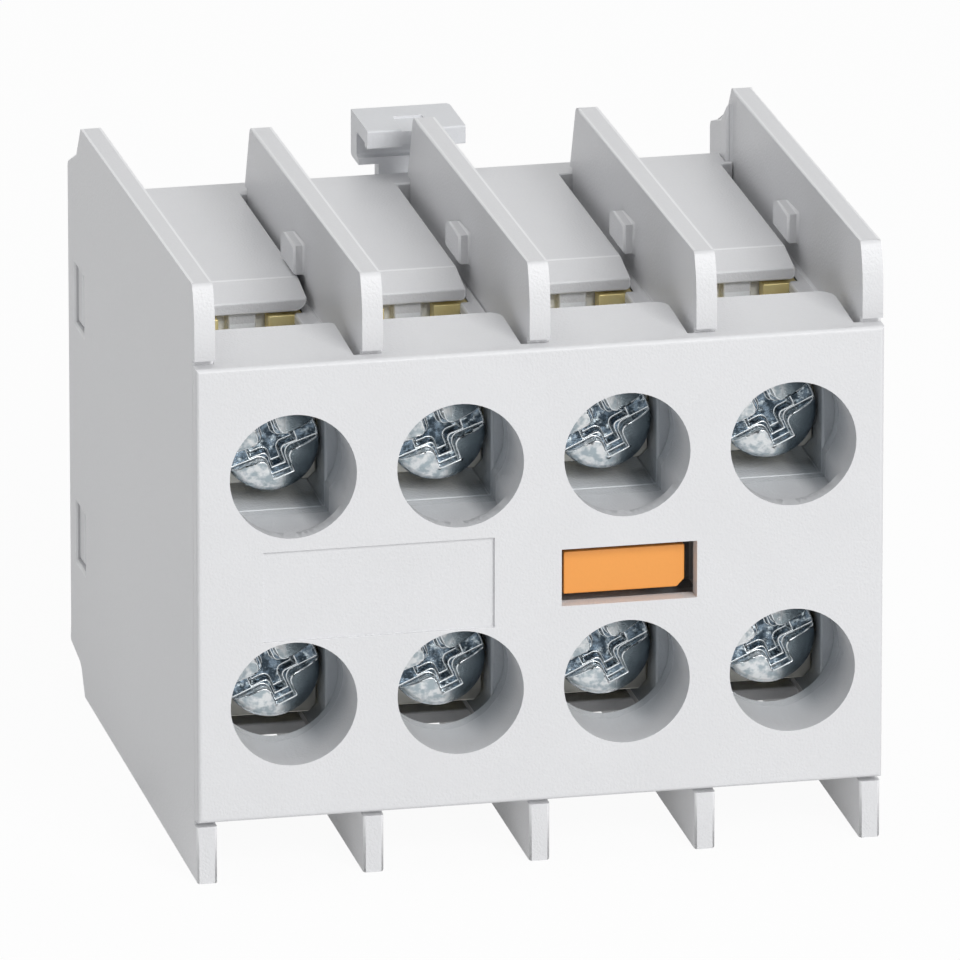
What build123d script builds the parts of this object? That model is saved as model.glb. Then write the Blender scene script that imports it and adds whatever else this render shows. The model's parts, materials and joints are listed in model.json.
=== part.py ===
"""Front-mounted auxiliary contact block with four poles, two normally open and two normally closed.

X runs across the poles, Y from the front face towards the contactor and Z up. The origin is the middle
of the rear face that seats on the contactor. Lengths are in millimetres. Most sizes are given as depths
behind the front face, and y_at turns such a depth into Y.
"""

import os
from math import cos, pi, sin, sqrt

from build123d import *

os.makedirs("parts", exist_ok=True)

# Clearances
fit = 0.05  # between mouldings that are assembled and stay
slide = 0.15  # round pieces that move
touch = 0.05  # between contact tips that meet
past = 1.0  # how far a cut runs past the face that it opens

# Poles and partition plates
pitch = 10.67
pole_count = 4
pole_shift = 0.15  # the poles sit this far right of the middle between two plates
fin_t = 1.32
fin_set_back = 0.55
fin_top_front = 20.1
fin_top_rear = 19.5
fin_low_front = 19.15
fin_low_rear = 18.86
fin_lean = 0.7  # the front edge of a plate leans back this far at its top
fin_lean_h = 1.8
fin_front_r = 7.0
fin_tail_top = 6.3  # from the rear face to the end of an inner plate, at its top and above the roof
fin_tail_low = 4.4
fin_tail_r = 0.8
tail_gap = 0.3

# Front cover
face_top = 14.8
face_low = 15.0
face_edge_r = 0.3
cover_t = 1.2
cover_depth = 6.0
cover_wall = 1.2
skirt_depth = 6.4
skirt_rise = 0.55
skirt_corner_r = (0.3, 0.9, 0.9, 1.1)
slot_gap = 0.42  # from a plate to the skirt on its left, at the front and at the rear
slot_gap_rear = 0.62
fin_hover = 0.4
row_z = 7.47
well_r = 4.05
label_w = 14.8
label_h = 5.93
label_x = -10.4
label_z = -0.36
label_depth = 0.25
window_w = 8.7
window_h = 3.74
window_shift = 0.15
window_z = -0.36

# Terminal channels and their screws
channel_w = 6.5
wire_stop = 15.5  # depth of the clamping face
strip_t = 1.2
terminal_w = 7.7
terminal_gap = 0.1
run_w = 4.4
run_lift = 0.5
bend_in = 0.3
bend_out = 1.3
notch_w = 3.2
notch_depth = 2.2
boss_half = 2.6
boss_len = 1.6
screw_r = 1.75
screw_len = 10.0
head_r = 3.1
head_face_r = 2.3
head_rim = 0.7
head_h = 2.3
recess_r = 1.95
recess_arm = 1.3
recess_depth = 1.5
screw_angles = (19, 20, 25, 25, 24, 24, 26, 24)  # upper row, then lower row
washer_t = 1.0
washer_drop = 3.85
washer_rise = 3.4
washer_corner = 0.5

# Contact system
carrier_travel = 2.8
chamber_w = 8.0
chamber_gap = 0.7
bar_t = 1.2
bar_half = 1.3
post_t = 0.9
post_inner = 2.75
stop_lug = 0.55
lug_t = 1.0
contact_spring_len = 4.6
bridge_t = 0.8
bridge_half = 3.6
bridge_w = 3.2
bridge_waist = 5.2
tip_t = 0.6
tip_half = 0.8
tip_z = 2.7
finger_low = 1.6
crossbar_t = 2.5
crossbar_half = 2.6
crossbar_gap = 0.4
rear_room = 2.65
latch_block = 4.0
coil_sides = 6
spring_r = 1.15
spring_wire = 0.2
return_spring_r = 1.8
return_spring_wire = 0.25
return_spring_x = 13.35
peg_len = 1.5
leg_x = 7.5
leg_w = 3.0
leg_half = 1.1
leg_reach = 2.0
leg_head = 1.0
leg_bevel = 0.8

# Core of the housing, roofs and rear wall
core_rise = 5.73  # from a screw row to the top of the core
core_end = 5.3  # from the rear face to the rear of the core
roof_gap = 0.12
roof_t = 1.4
roof_slits = (0.4, 0.85, 0.85, 0.85)
roof_corner_r = (0.9, 0.35, 0.35, 0.35)
lower_nose_reach = 1.7  # the lower roofs reach this far in front of the clamping face
bevel_len = 2.95
bevel_drop = 0.6
rear_wall = 1.6
rear_chamfer = 2.85
rear_drop = 1.7
side_wall = 1.4
shoulder_len = 4.4  # ears, counted from the rear face: end of the plate's top edge, top of the ear
ear_len = 3.1
ear_top = 17.5
ear_end = 16.0
ear_low = 16.3
ear_low_top = 16.8
foot_len = 4.6
foot_step = 17.1
foot_slope = 0.5
pad_len = 4.7
pad_t = 0.4
pad_drop = 1.0
rib_w = 1.8
rib_foot_w = 5.2
rib_step = 0.6
rib_gap = 0.4
nub_w = 1.2
nub_len = 4.0
nub_h = 1.9
nub_set_back = 2.75
side_window_len = 3.3
side_window_h = 4.0
side_window_rear = 1.85
side_window_z = (7.75, -8.3)
catch_gap = 0.35
catch_slope = 1.2
catch_set_back = 0.25

# Indicator
flag_w = 7.77
flag_h = 2.78
flag_z = -0.41
flag_shift = 0.05
flag_front = 1.1
flag_t = 1.9
flag_chamfer = 0.5
stem_w = 3.2
stem_half = 1.2
neck_half = 0.8
neck_end = 9.0
tongue_w = 1.4
tongue_len = 2.4

# Release latch and hooks
latch_travel = 2.0
head_w = 6.45
head_top = 18.05
head_low = 14.95
head_reach = 5.35  # front lips to the rear of the head
head_proud = 1.1  # rear of the head behind the seating face
head_plate = 1.0
head_wall = 1.9
head_shelf = 0.45
head_corners = (0.15, 0.7)
lip_h = 1.22
lip_t = 0.85
lip_gap = 1.9
top_notch = 0.15
top_notch_len = 2.9
latch_w = 3.8
latch_flange_w = 6.0
flange_drop = 2.4
latch_foot = 2.2
groove_foot = 1.7
latch_depth = 1.5
flange_t = 0.65
latch_block_half = 4.4
latch_block_low = -1.0
latch_pocket = 0.3
latch_spring_r = 0.75
latch_spring_wire = 0.13
latch_spring_low = 4.2
latch_spring_len = 5.0
tab_h = 1.2
tab_w = 1.8
barb_z = 10.2
barb_h = 1.4
barb_reach = 2.4
barb_lip = 1.0
barb_drop = 1.2
barb_bevel = 0.8
hook_x = 14.0
hook_w = 3.6
hook_z = -9.0

# Places that follow from the sizes above
width = pole_count * pitch + fin_t
pole_x = [(i - (pole_count - 1) / 2) * pitch + pole_shift for i in range(pole_count)]
fin_x = [(i - pole_count / 2) * pitch for i in range(pole_count + 1)]
inside = width / 2 - fin_t
open_poles = (0, pole_count - 1)
floor_z = row_z - well_r
trough_top = row_z - sqrt(well_r**2 - (channel_w / 2) ** 2)
bar_reach = (pitch - fin_t) / 2 - pole_shift - fit
core_half = row_z + core_rise
terminal_top = core_half - terminal_gap
core_front = cover_depth + fit
plate_rear = wire_stop + strip_t
chamber_front = plate_rear + 0.2
run_z = floor_z + run_lift
bar_front = chamber_front + chamber_gap
bar_rear = bar_front + bar_t
open_bridge = bar_rear + contact_spring_len
open_finger = open_bridge + bridge_t + tip_t + carrier_travel + touch + tip_t
closed_finger = bar_rear + carrier_travel
closed_bridge = closed_finger + strip_t + tip_t + touch + tip_t
crossbar_front = open_finger + strip_t + crossbar_gap
crossbar_rear = crossbar_front + crossbar_t
depth = crossbar_rear + carrier_travel + rear_room + latch_block
core_rear = depth - core_end
roof_low = core_half + roof_gap
roof_top = roof_low + roof_t
upper_nose = wire_stop - fit
lower_nose = wire_stop - lower_nose_reach
window_x = pole_x[2] + window_shift
head_front = cover_depth
washer_front = head_front + head_h + fit


def y_at(d):
    """Y of a plane that lies d behind the front face."""
    return d - depth


def facing(d):
    """Sketch plane that faces forward at depth d: its x is X and its y is Z."""
    return Plane.XZ.offset(depth - d)


def closed_outline(corners):
    """Face from corners (x, y, corner radius) in the current sketch."""
    with BuildLine() as outline:
        FilletPolyline([(x, y) for x, y, r in corners], radius=[r for x, y, r in corners], close=True)
    make_face(outline.edges())


def side_outline(corners, side=1):
    """Face on a side plane from corners (depth, height, corner radius), upside down for side -1."""
    closed_outline([(y_at(d), side * z, r) for d, z, r in corners])


def bars(places, w, h, d0, d1, mode=Mode.ADD):
    """Rectangles w wide and h high about places (x, z), drawn through from one depth to another."""
    with BuildSketch(facing(d0)) as front:
        with Locations(*places):
            Rectangle(w, h)
    extrude(front.sketch, amount=d0 - d1, mode=mode)


def block(x0, x1, d0, d1, z0, z1, mode=Mode.ADD):
    """Prism between two X, two depths and two heights in the current part."""
    bars([((x0 + x1) / 2, (z0 + z1) / 2)], abs(x1 - x0), abs(z1 - z0), d0, d1, mode)


def write(piece, name):
    """Label a finished piece and write its STEP file."""
    piece.part.label = name
    export_step(piece.part, "parts/" + name + ".step")


def in_rows(xs, z):
    """Places at every X in a height above the middle and the same height below it."""
    return [(x, side * z) for x in xs for side in (1, -1)]


# Front cover: a skirt of four bays behind the plate, and two bars that hold the bores of the wells.
with BuildPart() as skirt:
    with BuildSketch(Plane.XY.offset(-face_low - past)):
        for bay, corner_r in enumerate(skirt_corner_r):
            bay_left = fin_x[bay] + fin_t / 2 + fit
            plate_left = fin_x[bay + 1] - fin_t / 2
            closed_outline(
                [
                    (bay_left, y_at(cover_t), 0),
                    (plate_left - slot_gap, y_at(cover_t), 0),
                    (plate_left - slot_gap_rear, y_at(skirt_depth), corner_r),
                    (bay_left, y_at(skirt_depth), 0),
                ]
            )
    extrude(amount=face_low + face_top + 2 * past)
    with BuildSketch(Plane.YZ.offset(-width / 2)):
        for side, face in ((1, face_top), (-1, face_low)):
            side_outline(
                [
                    (cover_t, face - cover_wall, 0),
                    (cover_t, face, 0),
                    (skirt_depth, face + skirt_rise, 0),
                    (skirt_depth, face - cover_wall + skirt_rise, 0),
                ],
                side,
            )
    extrude(amount=width, mode=Mode.INTERSECT)

with BuildPart() as front_cover:
    face_middle = (face_top - face_low) / 2
    bars([(0, face_middle)], width, face_top + face_low, 0, cover_t)
    fillet(front_cover.faces().sort_by(Axis.Y)[0].edges(), radius=face_edge_r)
    add(skirt.part)
    bars(in_rows([0], row_z), 2 * (inside - fit), 2 * bar_reach, cover_t, cover_depth)
    trough_middle = (floor_z + trough_top) / 2
    trough_h = trough_top - floor_z
    bars(in_rows(pole_x, trough_middle), channel_w, trough_h, cover_t, cover_depth, Mode.SUBTRACT)
    with BuildSketch(facing(0)):
        with Locations(*in_rows(pole_x, row_z)):
            Circle(well_r)
    extrude(amount=-cover_depth, mode=Mode.SUBTRACT)
    bars([(window_x, window_z)], window_w, window_h, 0, cover_t, Mode.SUBTRACT)
    bars([(label_x, label_z)], label_w, label_h, 0, label_depth, Mode.SUBTRACT)
write(front_cover, "front_cover")

# Housing: side walls with ears and snap windows, partition plates, and the core with its channels.
with BuildPart() as housing:
    with BuildSketch(Plane.YZ.offset(-width / 2)):
        side_outline(
            [
                (fin_set_back, face_top + fin_hover, 0),
                (fin_set_back, fin_top_front - fin_lean_h, fin_front_r),
                (fin_set_back + fin_lean, fin_top_front, 0.4),
                (depth - shoulder_len, fin_top_rear, 0.4),
                (depth - ear_len, ear_top, 0.3),
                (depth, ear_end, 0.6),
                (depth, -ear_low, 0.3),
                (depth - ear_len, -ear_low_top, 0.3),
                (depth - ear_len - foot_slope, -foot_step, 0),
                (depth - foot_len, -fin_low_rear, 0),
                (fin_set_back, -fin_low_front, 0),
                (fin_set_back, -face_low - fin_hover, 0),
                (cover_t + fit, -face_low - fin_hover, 0),
                (cover_t + fit, face_top + fin_hover, 0),
            ]
        )
    extrude(amount=fin_t)
    with BuildSketch(Plane.YZ.offset(-inside)):
        side_outline(
            [
                (depth - pad_len, ear_top + pad_drop, 0),
                (depth - ear_len, ear_top - pad_t, 0),
                (depth, ear_end, 0.6),
                (depth, -ear_low, 0.3),
                (depth - pad_len, -ear_low_top + pad_t, 0),
            ]
        )
    extrude(amount=pad_t)
    mirror(about=Plane.YZ)
    side_window_d = depth - side_window_rear - side_window_len / 2
    with BuildSketch(Plane.YZ.offset(-width / 2)):
        with Locations(*[(y_at(side_window_d), z) for z in side_window_z]):
            Rectangle(side_window_len, side_window_h)
    extrude(amount=width, mode=Mode.SUBTRACT)
    core_clear = roof_top + tail_gap
    tuck = face_top - cover_wall - fit
    with BuildSketch(*[Plane.YZ.offset(x - fin_t / 2) for x in fin_x[1:-1]]):
        side_outline(
            [
                (fin_set_back, face_top + fin_hover, 0),
                (fin_set_back, fin_top_front - fin_lean_h, fin_front_r),
                (fin_set_back + fin_lean, fin_top_front, 0.4),
                (depth - fin_tail_top, fin_top_rear, fin_tail_r),
                (depth - fin_tail_low, core_clear, 0),
                (core_rear, core_clear, 0),
                (core_rear, -core_clear, 0),
                (depth - fin_tail_low, -core_clear, 0),
                (depth - fin_tail_top, -fin_low_rear, 0),
                (fin_set_back, -fin_low_front, 0),
                (fin_set_back, -face_low - fin_hover, 0),
                (cover_t + fit, -face_low - fin_hover, 0),
                (cover_t + fit, -tuck, 0),
                (core_front, -tuck, 0),
                (core_front, tuck, 0),
                (cover_t + fit, tuck, 0),
                (cover_t + fit, face_top + fin_hover, 0),
            ]
        )
    extrude(amount=fin_t)
    bars([(0, 0)], 2 * inside, 2 * core_half, core_front, core_rear)
    channel_h = core_half + past - floor_z
    channels = in_rows(pole_x, floor_z + channel_h / 2)
    middles = [(x, 0) for x in pole_x]
    chamber_h = 2 * (core_half + past)
    bars(channels, channel_w, channel_h, core_front, wire_stop, Mode.SUBTRACT)
    bars(channels, chamber_w, channel_h, wire_stop, chamber_front, Mode.SUBTRACT)
    bars(middles, chamber_w, chamber_h, chamber_front, core_rear, Mode.SUBTRACT)
    crossbar_room = 2 * (crossbar_half + slide)
    block_w = pole_x[-1] - pole_x[0]
    bars([(pole_shift, 0)], block_w, crossbar_room, crossbar_front - slide, core_rear, Mode.SUBTRACT)
    stem_room = stem_w + 2 * slide
    stem_h = 2 * (stem_half + slide)
    bars([(pole_x[2], 0)], stem_room, stem_h, core_front, chamber_front, Mode.SUBTRACT)
    nub_front = upper_nose + nub_set_back
    nub_low = roof_top + slide
    with BuildSketch(*[Plane.YZ.offset(x - fin_t / 2 - nub_w) for x in fin_x[1:]]):
        for side in (1, -1):
            side_outline(
                [
                    (nub_front, nub_low, 0),
                    (nub_front, nub_low + nub_h, 0),
                    (nub_front + nub_len, nub_low + nub_h, 0.9),
                    (nub_front + nub_len, nub_low, 0),
                ],
                side,
            )
    extrude(amount=nub_w)
write(housing, "housing")

# Rear cover: the roofs are cut out in front view, then everything is trimmed to the side profile.
wall_half = inside - fit
with BuildPart() as rear_cover:
    for side, nose in ((1, upper_nose), (-1, lower_nose)):
        with BuildSketch(facing(nose)):
            for bay, corner_r in enumerate(roof_corner_r):
                roof_left = fin_x[bay] + fin_t / 2 + fit
                roof_right = fin_x[bay + 1] - fin_t / 2 - roof_slits[bay]
                closed_outline(
                    [
                        (roof_left, side * roof_low, 0),
                        (roof_right, side * roof_low, corner_r),
                        (roof_right, side * (roof_top + past), 0),
                        (roof_left, side * (roof_top + past), 0),
                    ]
                )
        extrude(amount=nose - core_rear - slide)
    band = in_rows([0], (roof_low + roof_top + past) / 2)
    bars(band, 2 * wall_half, roof_t + past, core_rear + slide, depth)
    bars([(0, 0)], 2 * wall_half, 2 * (roof_top + past), depth - rear_wall, depth)
    with BuildSketch(Plane.YZ.offset(-width / 2)):
        side_outline(
            [
                (upper_nose, 0, 0),
                (upper_nose, roof_top - bevel_drop, 0.15),
                (upper_nose + bevel_len, roof_top, 0),
                (depth - rear_chamfer, roof_top, 0.4),
                (depth, roof_top - rear_drop, 0),
                (depth, -roof_top + rear_drop, 0),
                (depth - rear_chamfer, -roof_top, 0.4),
                (lower_nose + bevel_len, -roof_top, 0),
                (lower_nose, -roof_top + bevel_drop, 0.15),
                (lower_nose, 0, 0),
            ]
        )
    extrude(amount=width, mode=Mode.INTERSECT)
    notch_floor = terminal_top - notch_depth
    tongue_h = roof_low - notch_floor - slide
    foot_h = roof_low - notch_floor - rib_step
    bars(in_rows(pole_x, roof_low - tongue_h / 2), rib_w, tongue_h, wire_stop + rib_gap, depth - rear_wall)
    bars(in_rows(pole_x, roof_low - foot_h / 2), rib_foot_w, foot_h, plate_rear + fit, depth - rear_wall)
    wall_x = inside - pad_t - fit
    pads = [(side * (wall_x + inside) / 2, 0) for side in (-1, 1)]
    bars(pads, inside - wall_x, 2 * (roof_top + past), depth - pad_len - fit, depth, Mode.SUBTRACT)
    walls = [(side * (wall_x - side_wall / 2), 0) for side in (-1, 1)]
    bars(walls, side_wall, 2 * roof_low, core_rear + slide, depth - rear_wall)
    catch_rear = depth - side_window_rear - slide
    catch_front = catch_rear - side_window_len + catch_gap + slide
    catch_x = width / 2 - catch_set_back
    with BuildSketch(*[Plane.XY.offset(z - side_window_h / 2 + slide) for z in side_window_z]):
        for side in (-1, 1):
            closed_outline(
                [
                    (side * wall_x, y_at(catch_rear), 0),
                    (side * catch_x, y_at(catch_rear), 0.2),
                    (side * catch_x, y_at(catch_front + catch_slope), 0),
                    (side * wall_x, y_at(catch_front), 0),
                ]
            )
    extrude(amount=side_window_h - 2 * slide)
    block_half = latch_block_half
    block(-block_half, block_half, depth - latch_block, depth - rear_wall, latch_block_low, roof_low)
    leg_room = 2 * (leg_half + leg_head + slide)
    legs = [(-leg_x, 0), (leg_x, 0)]
    bars(legs, leg_w + 2 * slide, leg_room, depth - rear_wall, depth, Mode.SUBTRACT)
    with BuildSketch(facing(depth - rear_wall)):
        with Locations((-return_spring_x, 0), (return_spring_x, 0)):
            Circle(return_spring_r * cos(pi / coil_sides) - return_spring_wire - slide)
    extrude(amount=peg_len)
    hook_end = depth + barb_reach
    hook_low = hook_z - barb_h
    with BuildSketch(*[Plane.YZ.offset(side * hook_x - hook_w / 2) for side in (-1, 1)]):
        side_outline(
            [
                (depth, hook_z, 0),
                (hook_end - barb_bevel, hook_z, 0),
                (hook_end, hook_z - barb_bevel, 0),
                (hook_end, hook_low - barb_drop, 0),
                (hook_end - barb_lip, hook_low - barb_drop, 0),
                (hook_end - barb_lip, hook_low, 0),
                (depth, hook_low, 0),
            ]
        )
    extrude(amount=hook_w)
    mould_windows = [(side * hook_x, hook_low - (barb_drop + slide) / 2) for side in (-1, 1)]
    bars(mould_windows, hook_w, barb_drop + slide, depth - rear_wall, depth, Mode.SUBTRACT)
    groove_top = roof_top + past
    foot_w = latch_flange_w / 2 + slide
    neck_w = latch_w / 2 + slide
    foot_d = depth - latch_depth
    block(-foot_w, foot_w, foot_d, foot_d + flange_t + 2 * slide, groove_foot, groove_top, Mode.SUBTRACT)
    block(-neck_w, neck_w, foot_d, depth, groove_foot, groove_top, Mode.SUBTRACT)
    pocket_front = depth - latch_block + latch_pocket
    pocket_low = latch_spring_low - tab_h - slide
    pocket_high = latch_spring_low + latch_spring_len + slide
    pocket_w = tab_w / 2 + slide
    block(-pocket_w, pocket_w, pocket_front, foot_d, pocket_low, pocket_high, Mode.SUBTRACT)
write(rear_cover, "rear_cover")

# Release latch: T-shaped head over the roofs, stem in the rear groove, spring tab and hook.
stem_front = depth - latch_depth + slide / 2
stem_rear = depth - slide
head_rear = depth + head_proud
lip_front = head_rear - head_reach
with BuildPart() as release_latch:
    with BuildSketch(Plane.YZ.offset(-head_w / 2)):
        side_outline(
            [
                (lip_front, head_top - lip_h, 0.1),
                (lip_front, head_top, 0.15),
                (head_rear, head_top, 0.3),
                (head_rear, head_low, 0.5),
                (stem_front, head_low, 0),
                (stem_front, head_low + head_shelf, 0),
                (head_rear - head_wall, head_low + head_shelf, 0.2),
                (head_rear - head_wall, head_top - head_plate, 0.3),
                (lip_front + lip_t, head_top - head_plate, 0.1),
                (lip_front + lip_t, head_top - lip_h, 0),
            ]
        )
    extrude(amount=head_w)
    with BuildSketch(Plane.XY.offset(head_low)):
        closed_outline(
            [
                (-head_w / 2, y_at(lip_front), 0),
                (-head_w / 2, y_at(head_rear), head_corners[0]),
                (head_w / 2, y_at(head_rear), head_corners[1]),
                (head_w / 2, y_at(lip_front), 0),
            ]
        )
    extrude(amount=head_top - head_low, mode=Mode.INTERSECT)
    lip_room = lip_gap / 2
    plate_low = head_top - head_plate
    block(-lip_room, lip_room, lip_front, lip_front + lip_t, head_top - lip_h, plate_low, Mode.SUBTRACT)
    notch_end = lip_front + top_notch_len
    block(-lip_room, lip_room, lip_front, notch_end, head_top - top_notch, head_top + past, Mode.SUBTRACT)
    block(-latch_w / 2, latch_w / 2, stem_front, stem_rear, latch_foot, head_low + head_shelf / 2)
    flange = latch_flange_w / 2
    flange_high = head_low - latch_travel - flange_drop
    block(-flange, flange, stem_front, stem_front + flange_t, latch_foot, flange_high)
    tab = tab_w / 2
    block(-tab, tab, pocket_front + slide, stem_front, latch_spring_low - tab_h, latch_spring_low)
    with BuildSketch(Plane.YZ.offset(-latch_w / 2)):
        side_outline(
            [
                (stem_rear, barb_z + barb_h, 0),
                (hook_end - barb_bevel, barb_z + barb_h, 0),
                (hook_end, barb_z + barb_h - barb_bevel, 0),
                (hook_end, barb_z - barb_drop, 0),
                (hook_end - barb_lip, barb_z - barb_drop, 0),
                (hook_end - barb_lip, barb_z, 0),
                (stem_rear, barb_z, 0),
            ]
        )
    extrude(amount=latch_w)
write(release_latch, "release_latch")


def write_coil(name, seat, length, radius, wire_r, turns):
    """Write a compression spring, wound with straight steps, from its seat plane along the plane's z."""
    steps = turns * coil_sides
    points = []
    for step in range(steps + 1):
        angle = 2 * pi * step / coil_sides
        spot = (radius * cos(angle), radius * sin(angle), wire_r + touch + length * step / steps)
        points.append(seat.from_local_coords(spot))
    with BuildPart() as spring:
        with BuildLine() as path:
            Polyline(*points)
        with BuildSketch(Plane(origin=path.line @ 0, z_dir=path.line % 0)):
            RegularPolygon(radius=wire_r, side_count=4)
        sweep(transition=Transition.RIGHT)
    write(spring, name)


def coil_between(name, x, front, rear, radius, wire_r, turns):
    """Write a coil along the depth at one X, between the faces at two depths."""
    seat = Plane(origin=(x, y_at(front), 0), z_dir=(0, 1, 0))
    write_coil(name, seat, rear - front - 2 * wire_r - 2 * touch, radius, wire_r, turns)


latch_seat = Plane(origin=(0, y_at((pocket_front + foot_d) / 2), latch_spring_low), z_dir=(0, 0, 1))
latch_coil = latch_spring_len - 2 * latch_spring_wire - 2 * touch
write_coil("latch_spring", latch_seat, latch_coil, latch_spring_r, latch_spring_wire, 5)
spring_end = depth - rear_wall
for name, x in (("return_spring_1", -return_spring_x), ("return_spring_2", return_spring_x)):
    coil_between(name, x, crossbar_rear, spring_end, return_spring_r, return_spring_wire, 4)

# Contact carrier: one window for each pole, a crossbar behind them and two legs to the contactor.
post = post_inner + post_t
with BuildPart() as contact_carrier:
    with BuildSketch(Plane.XY.offset(-bar_half)):
        with Locations(*[(x, y_at((bar_front + crossbar_front) / 2)) for x in pole_x]):
            Rectangle(2 * post, crossbar_front - bar_front)
        with Locations(*[(x, y_at((bar_rear + crossbar_front) / 2)) for x in pole_x]):
            Rectangle(2 * post_inner, crossbar_front - bar_rear, mode=Mode.SUBTRACT)
    extrude(amount=2 * bar_half)
    for pole, x in enumerate(pole_x):
        lug_front = open_bridge + bridge_t if pole in open_poles else closed_bridge - lug_t
        lug_x = post_inner - stop_lug / 2
        bars([(x - lug_x, 0), (x + lug_x, 0)], stop_lug, 2 * bar_half, lug_front, lug_front + lug_t)
    bars([(pole_shift, 0)], block_w + 2 * post, 2 * crossbar_half, crossbar_front, crossbar_rear)
    bars([(pole_x[2], 0)], stem_w, 2 * stem_half, neck_end, bar_front)
    tongue_end = neck_end + tongue_len
    bars([(pole_x[2], 0)], tongue_w + 2 * fit, 2 * stem_half, neck_end, tongue_end + fit, Mode.SUBTRACT)
    leg_tip = depth + leg_reach
    head_half = leg_half + leg_head - slide
    with BuildSketch(*[Plane.YZ.offset(side * leg_x - leg_w / 2) for side in (-1, 1)]):
        side_outline(
            [
                (crossbar_rear, leg_half, 0),
                (leg_tip - leg_head, leg_half, 0),
                (leg_tip - leg_head, head_half, 0),
                (leg_tip, head_half - leg_bevel, 0),
                (leg_tip, leg_bevel - head_half, 0),
                (leg_tip - leg_head, -head_half, 0),
                (leg_tip - leg_head, -leg_half, 0),
                (crossbar_rear, -leg_half, 0),
            ]
        )
    extrude(amount=leg_w)
write(contact_carrier, "contact_carrier")

# Indicator: orange flag behind the window, held by its tongue in the stem of the carrier.
with BuildPart() as indicator:
    with BuildSketch(facing(flag_front)):
        low = flag_z - flag_h / 2
        high = flag_z + flag_h / 2
        left = pole_x[2] + flag_shift - flag_w / 2
        right = left + flag_w
        closed_outline(
            [
                (left, low, 0.1),
                (right - flag_chamfer, low, 0),
                (right, low + flag_chamfer, 0),
                (right, high, 0.1),
                (left, high, 0.1),
            ]
        )
    extrude(amount=-flag_t)
    bars([(pole_x[2], 0)], stem_w, 2 * neck_half, flag_front + flag_t, neck_end)
    bars([(pole_x[2], 0)], tongue_w, 2 * neck_half, neck_end, neck_end + tongue_len)
write(indicator, "indicator")


def write_bridge(pole, x):
    """Write a pole's contact bridge, its two tips and its contact spring."""
    is_open = pole in open_poles
    front = open_bridge if is_open else closed_bridge
    with BuildPart() as bridge:
        bars([(x, 0)], bridge_w, 2 * bridge_half, front, front + bridge_t)
        bars([(x, 0)], bridge_waist, 2 * (bar_half - slide), front, front + bridge_t)
    write(bridge, f"contact_bridge_{pole + 1}")
    tip_front = front + bridge_t if is_open else front - tip_t
    with BuildPart() as tips:
        bars(in_rows([x], tip_z), 2 * tip_half, 2 * tip_half, tip_front, tip_front + tip_t)
    write(tips, f"bridge_tips_{pole + 1}")
    seat = bar_rear if is_open else front + bridge_t
    end = front if is_open else crossbar_front
    coil_between(f"contact_spring_{pole + 1}", x, seat, end, spring_r, spring_wire, 3)


def write_terminal(name, pole, x, side):
    """Write one brass terminal and its silver tip: clamping plate, threaded boss, run and finger."""
    is_open = pole in open_poles
    finger = open_finger if is_open else closed_finger
    boss_end = plate_rear + boss_len
    with BuildPart() as terminal:
        with BuildSketch(Plane.YZ.offset(x - run_w / 2)):
            side_outline(
                [
                    (wire_stop, terminal_top, 0),
                    (plate_rear, terminal_top, 0),
                    (plate_rear, run_z + strip_t, bend_in),
                    (finger + strip_t, run_z + strip_t, bend_out),
                    (finger + strip_t, finger_low, 0),
                    (finger, finger_low, 0),
                    (finger, run_z, bend_in),
                    (wire_stop, run_z, bend_out),
                ],
                side,
            )
        extrude(amount=run_w)
        plate_low = run_z + strip_t + bend_in
        plate_h = terminal_top - plate_low
        bars([(x, side * (plate_low + plate_h / 2))], terminal_w, plate_h, wire_stop, plate_rear)
        bars([(x, side * row_z)], 2 * boss_half, 2 * boss_half, plate_rear, boss_end)
        with BuildSketch(facing(wire_stop)):
            with Locations((x, side * row_z)):
                Circle(screw_r + fit)
        extrude(amount=wire_stop - boss_end, mode=Mode.SUBTRACT)
        notch = [(x, side * (terminal_top - notch_depth / 2 + past / 2))]
        bars(notch, notch_w, notch_depth + past, wire_stop, plate_rear, Mode.SUBTRACT)
    write(terminal, "terminal_" + name)
    tip_front = finger - tip_t if is_open else finger + strip_t
    with BuildPart() as tip:
        bars([(x, side * tip_z)], 2 * tip_half, 2 * tip_half, tip_front, tip_front + tip_t)
    write(tip, "fixed_tip_" + name)


def write_screw(name, x, z, side, angle):
    """Write one clamp screw with its cross recess, and the square washer under its head."""
    head_rear = head_front + head_h
    screw_end = head_rear + screw_len
    with BuildPart() as screw:
        with BuildSketch(Plane(origin=(x, 0, z), x_dir=(0, 1, 0), z_dir=(1, 0, 0))):
            with BuildLine() as profile:
                Polyline(
                    (y_at(head_front), 0),
                    (y_at(head_front), head_face_r),
                    (y_at(head_front + head_rim), head_r),
                    (y_at(head_rear), head_r),
                    (y_at(head_rear), screw_r),
                    (y_at(screw_end), screw_r),
                    (y_at(screw_end), 0),
                    close=True,
                )
            make_face(profile.edges())
        revolve(axis=Axis((x, 0, z), (0, 1, 0)))
        with BuildSketch(facing(head_front)):
            with Locations(Location((x, z), angle)):
                Rectangle(2 * recess_r, recess_arm)
                Rectangle(recess_arm, 2 * recess_r)
        extrude(amount=-recess_depth, mode=Mode.SUBTRACT)
    write(screw, "screw_" + name)
    with BuildPart() as washer:
        low = z - side * washer_drop
        high = z + side * washer_rise
        with BuildSketch(facing(washer_front)) as square:
            with Locations((x, (low + high) / 2)):
                Rectangle(channel_w - slide, abs(high - low))
            chamfer(square.vertices(), length=washer_corner)
            with Locations((x, z)):
                Circle(screw_r + slide, mode=Mode.SUBTRACT)
        extrude(amount=-washer_t)
    write(washer, "washer_" + name)


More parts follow.
